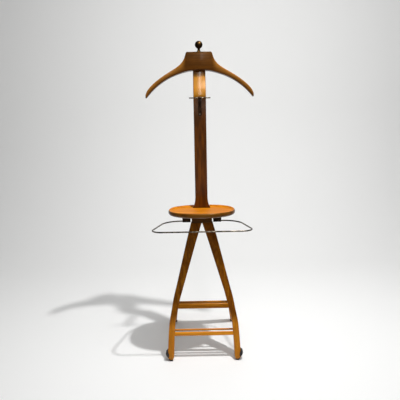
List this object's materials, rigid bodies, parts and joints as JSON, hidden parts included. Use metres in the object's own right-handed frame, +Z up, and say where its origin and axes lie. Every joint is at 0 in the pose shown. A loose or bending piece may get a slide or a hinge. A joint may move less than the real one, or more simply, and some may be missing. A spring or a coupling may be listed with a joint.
{
  "type": "valet stand",
  "caption": "Wooden valet stand with a coat hanger on a bent post, tie rail, dished tray, folding wire trouser bar, shoe bars and folding rear legs.",
  "frame": {"origin": "on the floor, under the middle of the stand's outline", "axes": "+Z up, -Y towards the front where the trouser bar and tie rail are, +X to the right as seen from the front"},
  "size_m": [0.45, 0.465, 1.339],
  "materials": {
    "post_wood": "gloss",
    "hanger_wood": "gloss",
    "tray_wood": "gloss",
    "leg_wood": "gloss",
    "block_wood": "gloss",
    "dowel_wood": "matte",
    "bronze": "satin",
    "brass": "polished",
    "nickel": "polished",
    "dark_metal": "satin",
    "steel": "satin",
    "rubber": "matte"
  },
  "bodies": {
    "root": {"ball_knob": "bronze", "knob_collar": "brass", "knob_stud": "steel", "coat_hanger": "hanger_wood", "hanger_dowels": "dowel_wood", "post": "post_wood", "post_screws": "brass", "tie_arm": "dark_metal", "tie_rod": "nickel", "tie_arm_screws": "nickel", "tray": "tray_wood", "front_yoke": "block_wood", "yoke_screws": "brass", "leg_dowels": "dowel_wood", "front_leg_left": "leg_wood", "front_leg_right": "leg_wood", "upper_shoe_bar": "leg_wood", "upper_shoe_rod": "leg_wood", "lower_shoe_bar": "leg_wood", "lower_shoe_rod": "leg_wood", "front_glide_left": "rubber", "front_glide_right": "rubber", "hinge_ears": "block_wood", "hinge_ear_screws": "brass", "hinge_pin": "steel", "bracket_left": "dark_metal", "bracket_right": "dark_metal", "bracket_screws": "brass"},
    "rear_frame": {"rear_barrel": "block_wood", "rear_leg_left": "leg_wood", "rear_leg_right": "leg_wood", "rear_rail": "leg_wood", "rear_glides": "rubber"},
    "trouser_loop": {"trouser_bar": "nickel"}
  },
  "joints": [
    {"name": "rear_legs_fold", "type": "hinge", "parent": "root", "child": "rear_frame", "pos_m": [0, 0.003, 0.596], "axis": [1, 0, 0], "range_deg": [-30, 0]},
    {"name": "trouser_bar_fold", "type": "hinge", "parent": "root", "child": "trouser_loop", "pos_m": [0, -0.007, 0.572], "axis": [1, 0, 0], "range_deg": [0, 55]}
  ]
}
